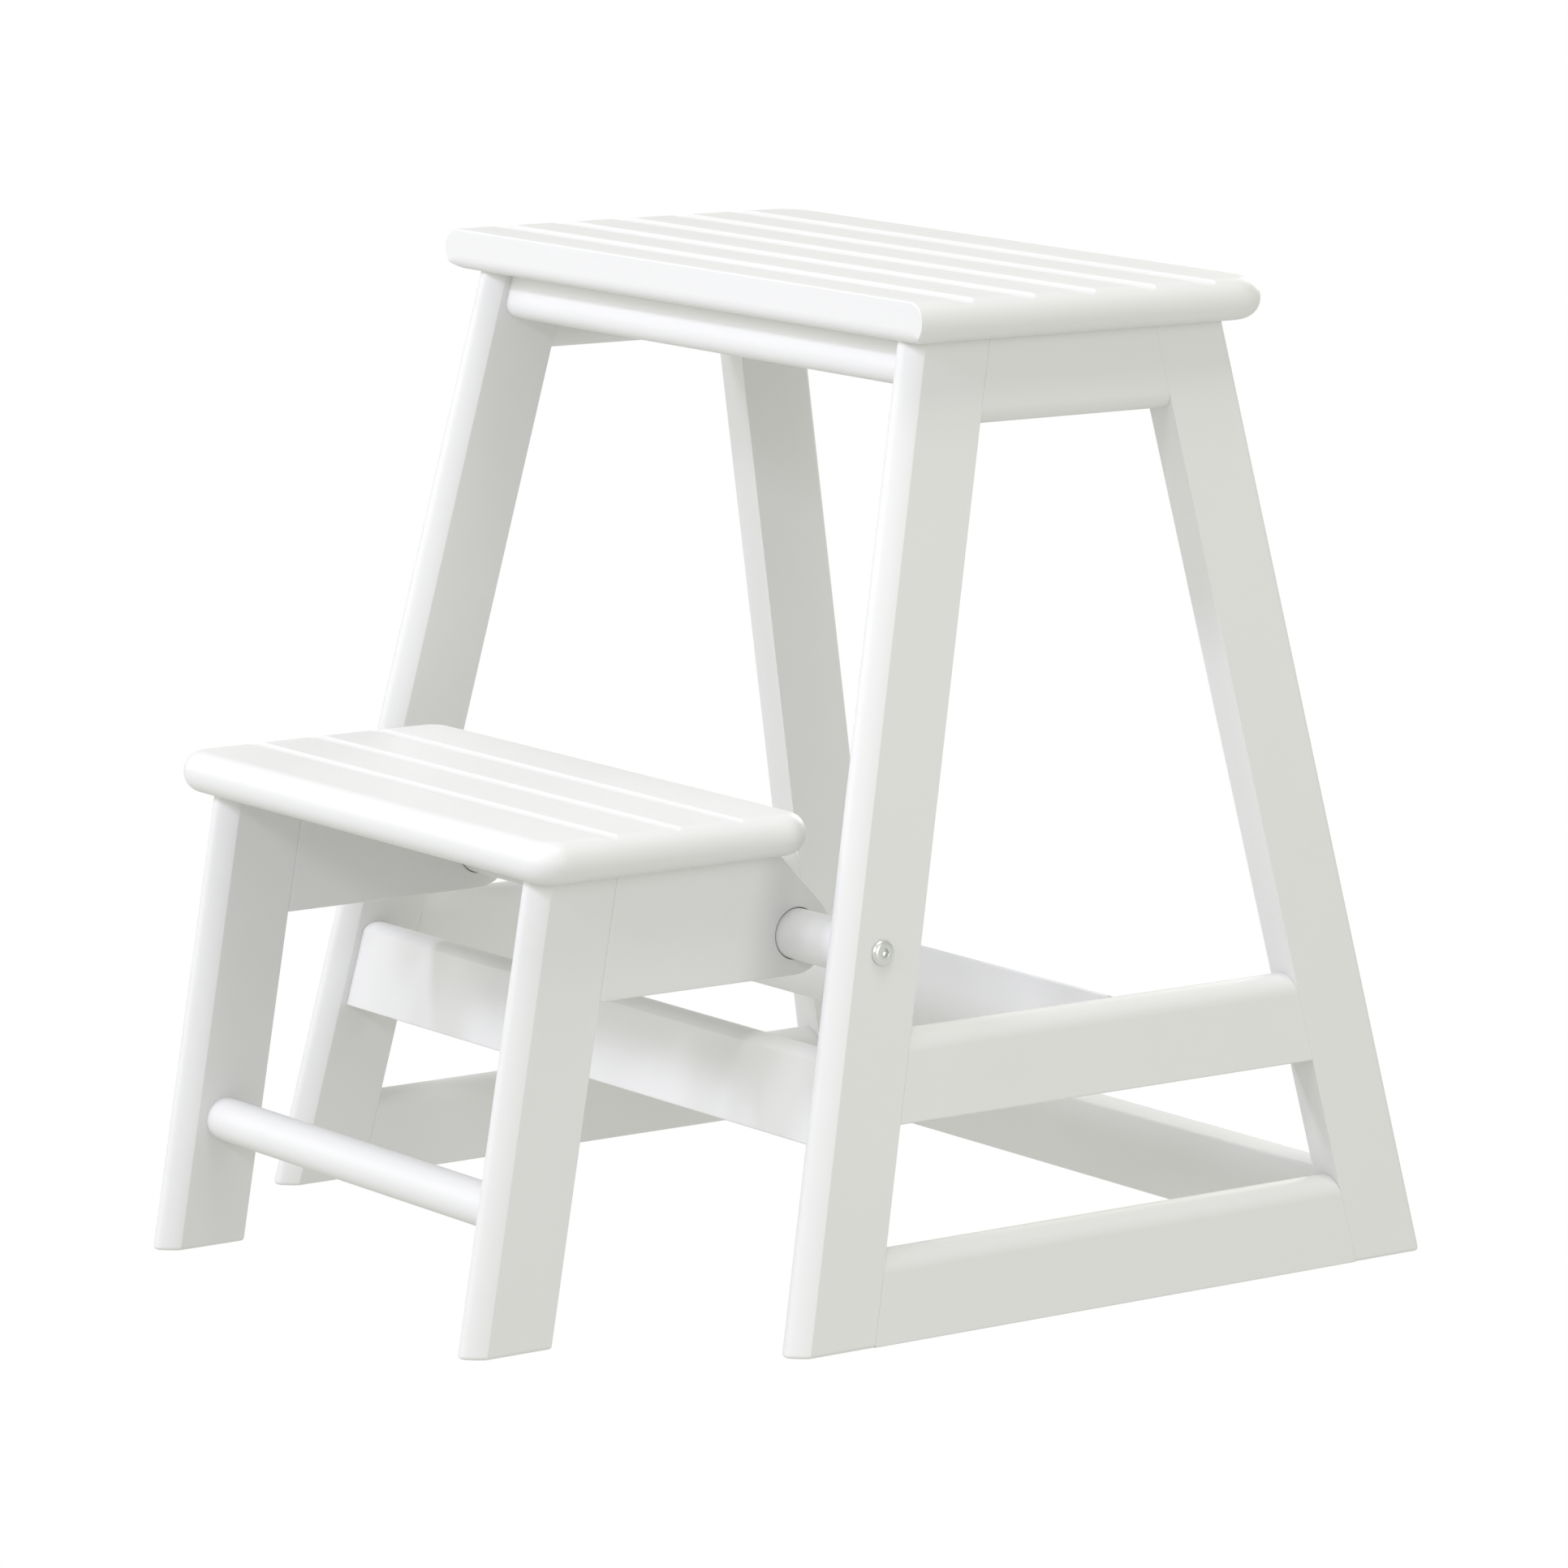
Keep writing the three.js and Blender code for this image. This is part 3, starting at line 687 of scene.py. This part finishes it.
def closed_board(upper, lower, top, thickness, front, planed):
    """Joins the two grids around their rims, and closes a planed front with its own grid."""
    rows, cols = upper.shape[:2]
    top_index = np.arange(rows * cols).reshape(rows, cols)
    low_index = top_index + rows * cols
    faces = cells(top_index).tolist() + cells(low_index).tolist()
    rims = [(0, slice(None)), (slice(None), -1), (-1, slice(None))]
    strip = np.zeros((0, 3))
    if planed:
        strip = planed_front(upper, lower, top, thickness, front, planed)
        strip_index = 2 * rows * cols + np.arange(strip[..., 0].size).reshape(strip.shape[:2])
        faces += cells(strip_index).tolist() + [strip_index[0].tolist(), strip_index[-1].tolist()]
    else:
        rims.append((slice(None), 0))
    for rim in rims:
        faces += cells(np.stack([top_index[rim], low_index[rim]])).tolist()
    return np.concatenate([grid.reshape(-1, 3) for grid in (upper, lower, strip)]), faces


# %% [markdown]
# The seat's front edge is sawn off straight, after the ends were rounded: at both corners it shows
# the half round of the ends as a clean outline. Its upper arris is only just eased, and its lower
# one is rounded over for the hands. Each row of the top meets it at its own height, so it is one
# more grid: round the upper arris, down the flat and round under.

# %% The seat's flat front
def planed_front(upper, lower, top, thickness, front, under, steps=9):
    """Grid of the flat front, one row for each row of the board. Its arrises are quarter circles: a
    small one above, and one below whose radius shrinks with the board's height towards the ends.
    It also moves the first columns of both grids to where the quarter circles start."""
    half = thickness / 2
    height = (upper[:, 0, 2] - (top - half))[:, None]
    over = np.minimum(ARRIS, 0.8 * height)
    below = np.maximum(under - 2 * (half - height), over)
    t = np.linspace(0, np.pi / 2, steps)
    twin = np.minimum(TWIN, 0.1 * height)
    y = np.concatenate([over * (1 - np.sin(t)), 0 * twin, 0 * twin, below * (1 - np.cos(t))], 1)
    z = np.concatenate([height - over * (1 - np.cos(t)), height - over - twin,
                        below + twin - height, below * (1 - np.sin(t)) - height], 1)
    upper[:, 0, 1], lower[:, 0, 1] = front + y[:, 0], front + y[:, -1]
    return stacked(upper[:, :1, 0], front + y, top - half + z)


# %% [markdown]
# Seat and tread are the same kind of board in two sizes. The seat overhangs the side frames all
# round. People sit on it, so its height is a round figure and the legs below are what is left.

# %% Seat
SEAT_THICKNESS, SEAT_CORNER, SEAT_UNDER = 20 * MM, 14.6 * MM, 6.5 * MM
SEAT_OVERHANG, SEAT_BACK_OVERHANG = 14.6 * MM, 26 * MM  # ends and front, then back
SEAT_GROOVES_SETBACK = 88.5 * MM  # of the middle groove, behind the front legs' tops

top_front = FOOT_Y + FRONT_SETBACK
grooved_board("seat_board", "frame", length=TOP_WIDTH + 2 * SEAT_OVERHANG,
              front=top_front - SEAT_OVERHANG, back=top_front + TOP_DEPTH + SEAT_BACK_OVERHANG,
              top=SEAT_HEIGHT, thickness=SEAT_THICKNESS, corner=SEAT_CORNER,
              grooves=(5, top_front + SEAT_GROOVES_SETBACK, 36.8 * MM, 11 * MM, 2.3 * MM),
              planed=SEAT_UNDER)

# %% [markdown]
# The tread overhangs the step's legs and stays clear of the side frames, because it swings up and
# over between them. Its grooves are fewer, narrower and shallower than the seat's.

# %% Tread
STEP_HEIGHT, STEP_LEG_WIDTH, STEP_LEG_ARCH = 240 * MM, 36.5 * MM, 9.1 * MM
TREAD_THICKNESS, TREAD_CORNER, TREAD_DEPTH = 20 * MM, 6.2 * MM, 159 * MM
TREAD_OVERHANG, TREAD_END_OVERHANG = 18.2 * MM, 16.6 * MM  # past the legs' fronts and outer faces
TREAD_CLEARANCE = 24.1 * MM  # between its ends and the side frames
STEP_REACH, STEP_SETBACK = 175.5 * MM, 34.5 * MM

STEP_LEG_TOP = STEP_HEIGHT - TREAD_THICKNESS
STEP_RAKE = STEP_SETBACK / STEP_LEG_TOP
TREAD_LENGTH = 2 * (inner_face(STEP_HEIGHT) - TREAD_CLEARANCE)
STEP_WIDTH = TREAD_LENGTH - 2 * TREAD_END_OVERHANG


def step_leg_front(z):
    """Depth of the step legs' front arris at height z."""
    return PIVOT_Y - STEP_REACH + STEP_RAKE * z


tread_front = step_leg_front(STEP_LEG_TOP) - TREAD_OVERHANG
grooved_board("step_tread", "step", length=TREAD_LENGTH, front=tread_front,
              back=tread_front + TREAD_DEPTH, top=STEP_HEIGHT, thickness=TREAD_THICKNESS,
              corner=TREAD_CORNER,
              grooves=(3, tread_front + TREAD_DEPTH / 2, 36 * MM, 8.2 * MM, 1.35 * MM))

# %% [markdown]
# ## Step legs and rung
# The step's two legs are the frame's legs again, upright from the front but raked from the side.
# A round rung joins them low down. It is a circle carried across, and its ends meet the legs' flat
# inner faces.

# %% Step legs and rung
RUNG_DIAMETER, RUNG_HEIGHT, RUNG_DEPTH = 21 * MM, 62.5 * MM, 15.55 * MM
for side, hand in SIDES:
    leg(f"step_leg_{hand}", "step", STEP_LEG_WIDTH, STEP_LEG_ARCH, STEP_LEG_TOP - GLUE_LINE,
        side * (STEP_WIDTH - BOARD) / 2, 0.0, step_leg_front, -1)


def round_bar(node, body, diameter, y, z, end):
    """A round bar across the stool about (y, z). end(v) is half its length at height v."""
    def outline(inset):
        quarters = [(y, z, diameter / 2 - inset, a, a + 90) for a in (0, 90, 180, 270)]
        return profile_of(quarters, 16)

    def at(side):
        return lambda u, v, a: stacked(side * (end(v) - a), u, v)

    points, faces = carried(outline, at(-1), at(1))
    return make_piece("painted", node, body, points, faces, paint_across)


rung_y = step_leg_front(RUNG_HEIGHT) + RUNG_DEPTH
round_bar("step_rung", "step", RUNG_DIAMETER, rung_y, RUNG_HEIGHT,
          lambda v: STEP_WIDTH / 2 - BOARD - GLUE_LINE)

# %% [markdown]
# ## Arms and pivot rod
# An arm joins each step leg to the rod. It is a flat plate that is level below, sloped above, round
# about the rod and bored for it. Its outline is measured outwards from the rod's axis, one distance
# for each direction.

# %% Outline of an arm
ROD_DIAMETER = 24 * MM
ARM_WALL, ARM_CORNER = 8 * MM, 2 * MM
ARM_END = ROD_DIAMETER / 2 + ARM_WALL


def distances(loop, turn):
    """How far a closed loop around the origin lies in each direction. A ray at angle a meets the
    line from P to P + L at the distance P x L / (ray x L), and the share of L where it does so is
    P x ray / (ray x L), with x the flat cross product. The farthest true crossing counts."""
    start = loop[None]
    line = (np.roll(loop, -1, 0) - loop)[None]
    ray = np.stack([np.cos(turn), np.sin(turn)], -1)[:, None]
    across = ray[..., 0] * line[..., 1] - ray[..., 1] * line[..., 0]
    across = np.where(np.abs(across) < 1e-12, 1e-12, across)
    far = (start[..., 0] * line[..., 1] - start[..., 1] * line[..., 0]) / across
    share = (start[..., 0] * ray[..., 1] - start[..., 1] * ray[..., 0]) / across
    met = (far > 0) & (share > -1e-6) & (share < 1 + 1e-6)
    return np.where(met, far, 0).max(1)


def arm_corners():
    """Corners of an arm's outline about the rod's axis, (depth, height, radius), counter-clockwise.
    The side above the round end R slopes at 45 degrees and touches it, so it meets the level
    bottom at R / tan(22.5 degrees) and the level top at R * sqrt(2) - top."""
    low, high = -ARM_END, STEP_LEG_TOP - GLUE_LINE - PIVOT_Z
    back_of_leg = [step_leg_front(PIVOT_Z + h) + STEP_LEG_WIDTH + GLUE_LINE - PIVOT_Y
                   for h in (low, high)]
    slope_end = ARM_END * math.sqrt(2) - high
    tip = ARM_END / math.tan(math.radians(22.5))
    return [(back_of_leg[0], low, ARRIS), (tip, low, ARM_END),
            (slope_end, high, ARM_CORNER), (back_of_leg[1], high, ARRIS)]


# %% [markdown]
# A plate with a hole is a ring, so its surface is a grid that closes both ways: around the outline,
# and from the bore over one face, the rim and the other face back to the bore. A Boolean would cut
# the hole too, but leave its edge sharp.

# %% Arms and rod
ROD_FIT, BORE_EASE = 0.4 * MM, 0.4 * MM


def arm(node, side):
    """One arm, as rings from the bore over the outer face and the rim to the inner face."""
    corners = arm_corners()
    loop = profile_of(corner_arcs(corners), 10)
    own = np.arctan2(loop[:, 1], loop[:, 0])
    turn = np.unique(np.round(np.concatenate([own, np.radians(np.arange(-180, 180, 5))]), 5))
    t = np.linspace(0, np.pi / 2, 6)
    half, bore = BOARD / 2, ROD_DIAMETER / 2 + ROD_FIT
    bore_r = np.append(bore + BORE_EASE * (1 - np.sin(t[::-1])), bore + BORE_EASE + TWIN)
    bore_x = np.append(half - BORE_EASE * (1 - np.cos(t[::-1])), half)
    insets = np.append(ARRIS + TWIN, ARRIS * (1 - np.sin(t)))
    rim_x = np.append(half, half - ARRIS * (1 - np.cos(t)))
    rim_r = [distances(profile_of(corner_arcs(corners, inset), 10), turn) for inset in insets]

    r = np.concatenate([np.tile(bore_r[:, None], len(turn)), rim_r])
    x = np.concatenate([bore_x, rim_x])
    r, x = np.concatenate([r, r[::-1]]), np.concatenate([x, -x[::-1]])[:, None]
    points = stacked(side * (STEP_WIDTH - BOARD) / 2 + x,
                     PIVOT_Y + r * np.cos(turn), PIVOT_Z + r * np.sin(turn))
    index = np.arange(points[..., 0].size).reshape(points.shape[:2])
    index = np.concatenate([index, index[:1]])
    return make_piece("painted", node, "step", points, cells(index, around=True).tolist(),
                      paint_deep)


for side, hand in SIDES:
    arm(f"step_arm_{hand}", side)
round_bar("pivot_rod", "frame", ROD_DIAMETER, PIVOT_Y, PIVOT_Z,
          lambda v: inner_face(v) - GLUE_LINE)

# %% [markdown]
# ## Zinc-plated steel and brass
# Furniture bolts are mild steel under a thin bright coat of zinc, which gives a soft neutral shine.
# The inserts in the rod's ends, which no one sees, are turned from brass. Both are metals, so the
# shader is fully metallic, and a fine noise varies its blur as a tool's marks do. An Anisotropic
# value could draw those marks as rings, but the heads are only 12 mm across.

# %% Finish of the bolts and of the hidden inserts
def bright_steel():
    """Zinc-plated steel: bright and neutral, with fine turning marks and a soft blur."""
    finish, tree, shader = new_finish("zinc_plated_steel")
    place = add(tree, "ShaderNodeTexCoord").outputs["Object"]
    marks = add(tree, "ShaderNodeTexNoise", {"Scale": 1 / (0.7 * MM), "Detail": 2.0},
                {"Vector": place})
    blur = add(tree, "ShaderNodeMapRange", {"To Min": 0.28, "To Max": 0.4},
               {"Value": marks.outputs["Fac"]})
    scratch = add(tree, "ShaderNodeBump", {"Strength": 0.3, "Distance": 0.01 * MM},
                  {"Height": marks.outputs["Fac"]})
    tree.links.new(blur.outputs["Result"], shader.inputs["Roughness"])
    tree.links.new(scratch.outputs["Normal"], shader.inputs["Normal"])
    shader.inputs["Base Color"].default_value = linear("ebecec")
    shader.inputs["Metallic"].default_value = 1.0
    return finish


def turned_brass():
    """Free-cutting brass, turned: yellow, with a fine blur from the tool."""
    finish, tree, shader = new_finish("turned_brass")
    place = add(tree, "ShaderNodeTexCoord").outputs["Object"]
    marks = add(tree, "ShaderNodeTexNoise", {"Scale": 1 / (0.8 * MM)}, {"Vector": place})
    blur = add(tree, "ShaderNodeMapRange", {"To Min": 0.3, "To Max": 0.42},
               {"Value": marks.outputs["Fac"]})
    tree.links.new(blur.outputs["Result"], shader.inputs["Roughness"])
    shader.inputs["Base Color"].default_value = linear("c9a95f")
    shader.inputs["Metallic"].default_value = 1.0
    return finish


steel, brass = bright_steel(), turned_brass()
for hand in ("left", "right"):
    insert = frame["nodes"][f"rod_insert_{hand}"]
    insert.data.materials.clear()
    insert.data.materials.append(brass)

# %% [markdown]
# ## Bolts
# A furniture bolt clamps each end of the rod through the front leg. Only its low domed head with a
# hexagon socket shows. It is turned on a lathe and then broached, so it is a profile spun about the
# bolt's axis, in which the rings of the socket follow a hexagon: the distance to the flat divided
# by the cosine of the angle from the middle of that flat.

# %% Bolts
BOLT_DIAMETER, BOLT_LENGTH = 6 * MM, 34 * MM
HEAD_DIAMETER, HEAD_HEIGHT, HEAD_EDGE, HEAD_FLAT = 12.2 * MM, 2.6 * MM, 0.8 * MM, 7.2 * MM
SOCKET_WIDTH, SOCKET_DEPTH, SOCKET_EASE = 4 * MM, 2.2 * MM, 0.15 * MM
TIP_CHAMFER, DRILL_POINT = 0.5 * MM, 0.4 * MM


def bolt_profile():
    """Rings of the bolt from its tip to the socket's floor: radius, height above the leg, and how
    far the ring is a hexagon, from 0 to 1."""
    shank, head, flat = BOLT_DIAMETER / 2, HEAD_DIAMETER / 2, HEAD_FLAT / 2
    socket, floor = SOCKET_WIDTH / 2, HEAD_HEIGHT - SOCKET_DEPTH
    t = np.linspace(0, np.pi / 2, 13)
    dome_r = flat + (head - flat) * np.cos(t)
    dome_z = HEAD_EDGE + (HEAD_HEIGHT - HEAD_EDGE) * np.sin(t)
    rings = [(0, -BOLT_LENGTH, 0), (shank - TIP_CHAMFER, -BOLT_LENGTH, 0),
             (shank, -BOLT_LENGTH + TIP_CHAMFER, 0), (shank, 0, 0),
             (head - 0.3 * MM, 0, 0), (head, 0.25 * MM, 0), (head, HEAD_EDGE - 0.1 * MM, 0)]
    rings += [(r, z, 0) for r, z in zip(dome_r, dome_z)]
    rings += [(flat - TWIN, HEAD_HEIGHT, 0), (socket + 0.35 * MM, HEAD_HEIGHT, 0.8),
              (socket + SOCKET_EASE, HEAD_HEIGHT, 1), (socket, HEAD_HEIGHT - SOCKET_EASE, 1),
              (socket, HEAD_HEIGHT - 2 * SOCKET_EASE, 1), (socket, floor + SOCKET_EASE, 1),
              (socket - 0.1 * MM, floor, 1), (0, floor - DRILL_POINT, 0)]
    return np.array(rings)


def bolt(node, side):
    """One bolt: its axis is square to the leg's leaning face and meets the middle of the rod's end
    at the leg's inner face, so its head sits LEAN * BOARD higher."""
    radius, height, six = bolt_profile().T[..., None]
    turn = np.radians(np.arange(0, 360, 5))
    flat_angle = (np.degrees(turn) % 60) - 30
    hexagon = 1 / np.cos(np.radians(flat_angle))
    r = radius * (1 + six * (hexagon - 1))
    out = np.array([side, 0, LEAN]) / math.hypot(1, LEAN)
    aside = np.array([0, 1, 0])
    above = np.cross(out, aside)
    head_z = PIVOT_Z + LEAN * BOARD
    start = np.array([side * outer_face(head_z), PIVOT_Y, head_z]) + out * GLUE_LINE
    points = (start + height[..., None] * out + (r * np.cos(turn))[..., None] * aside
              + (r * np.sin(turn))[..., None] * above)
    index = np.arange(points[..., 0].size).reshape(points.shape[:2])
    return make_piece("steel", node, "frame", points, cells(index, around=True).tolist(), steel)


for side, hand in SIDES:
    bolt(f"pivot_bolt_{hand}", side)

# %% [markdown]
# ## Studio
# The photograph has a pure white ground and no hard shadow. A ground that really returned the light
# would turn grey around the feet, so it is two sheets: one that only the camera sees, and one just
# below it that only glows.

# %% Paper, soft boxes and sky
LIGHT_AIM, LIGHT_DISTANCE = Vector((0, 0, 0.25)), 4.0
PAPER_HALF = 30.0


def sheet(name, height, tint, glow, seen):
    """A plain square of matt paper, 60 metres wide, that glows evenly. seen says whether it is the
    sheet for the camera or the one that lights the stool."""
    corners = [(x * PAPER_HALF, y * PAPER_HALF, height)
               for x, y in ((-1, -1), (1, -1), (1, 1), (-1, 1))]
    mesh = bpy.data.meshes.new(name)
    mesh.from_pydata(corners, [], [(0, 1, 2, 3)])
    finish, tree, shader = new_finish(f"matt_paper_of_{name}")
    shader.inputs["Base Color"].default_value = (0, 0, 0, 1)
    shader.inputs["Roughness"].default_value = 1.0
    shader.inputs["Specular IOR Level"].default_value = 0.0
    shader.inputs["Emission Color"].default_value = (*tint, 1)
    shader.inputs["Emission Strength"].default_value = glow
    mesh.materials.append(finish)
    floor = bpy.data.objects.new(name, mesh)
    bpy.context.scene.collection.objects.link(floor)
    floor.visible_camera = seen
    floor.visible_diffuse = floor.visible_glossy = floor.visible_shadow = not seen
    return floor


def soft_disk(name, azimuth, elevation, size, power, tint):
    """A round soft box that faces the stool, in a direction given as for the camera."""
    light = bpy.data.lights.new(name, "AREA")
    light.shape, light.size, light.energy, light.color = "DISK", size, power, tint
    box = bpy.data.objects.new(name, light)
    bpy.context.scene.collection.objects.link(box)
    back = Vector(view_axes(azimuth, elevation, 0)[2])
    box.location = LIGHT_AIM + LIGHT_DISTANCE * back
    box.rotation_mode = "QUATERNION"
    box.rotation_quaternion = (-back).to_track_quat("-Z", "Y")
    return box


def even_sky(strength, tint):
    """A plain world of one brightness."""
    world = bpy.data.worlds.new("even_sky")
    world.use_nodes = True
    world.node_tree.nodes.clear()
    sky = add(world.node_tree, "ShaderNodeBackground", {"Color": (*tint, 1), "Strength": strength})
    add(world.node_tree, "ShaderNodeOutputWorld", links={"Surface": sky.outputs[0]})
    bpy.context.scene.world = world


# %% [markdown]
# The lit faces are neutral white, and the faces turned away are a little greener, as in a bright
# room with one cooler lamp. So the key light is a narrow group in front at a third of the way up,
# slightly blue, and everything else is a wide warm-green fill: an even sky, low soft boxes around
# the stool, and the ground.

# %% Set up the studio
KEY_TINT, FILL_TINT = (1.015, 1.0, 1.18), (0.989, 1.0, 0.93)
KEY_SIZE, FILL_SIZE = 0.5, 1.4
GROUND_GLOW, GLOW_DEPTH, SKY = 0.704, 0.5 * MM, 0.533

sheet("paper_floor", 0.0, (1, 1, 1), 1.0, True)
sheet("floor_glow", -GLOW_DEPTH, FILL_TINT, GROUND_GLOW, False)
even_sky(SKY, FILL_TINT)
for name, azimuth, elevation, power in (("key_left", -15, 38, 34.3), ("key_middle", 0, 38, 18.0),
                                        ("key_right", 15, 30, 12.2), ("key_low", 45, 22, 8.9)):
    soft_disk(name, azimuth, elevation, KEY_SIZE, power, KEY_TINT)
for name, azimuth, elevation, power in (
        ("over_right_box", 90, 75, 45.1), ("back_left_box", -150, 14, 43.7),
        ("low_right_box", 90, 14, 22.7), ("low_left_box", -30, 14, 15.1),
        ("side_left_box", -60, 14, 10.3), ("low_front_box", 0, 14, 10.1)):
    soft_disk(name, azimuth, elevation, FILL_SIZE, power, FILL_TINT)
bpy.context.scene.view_settings.view_transform = "Standard"
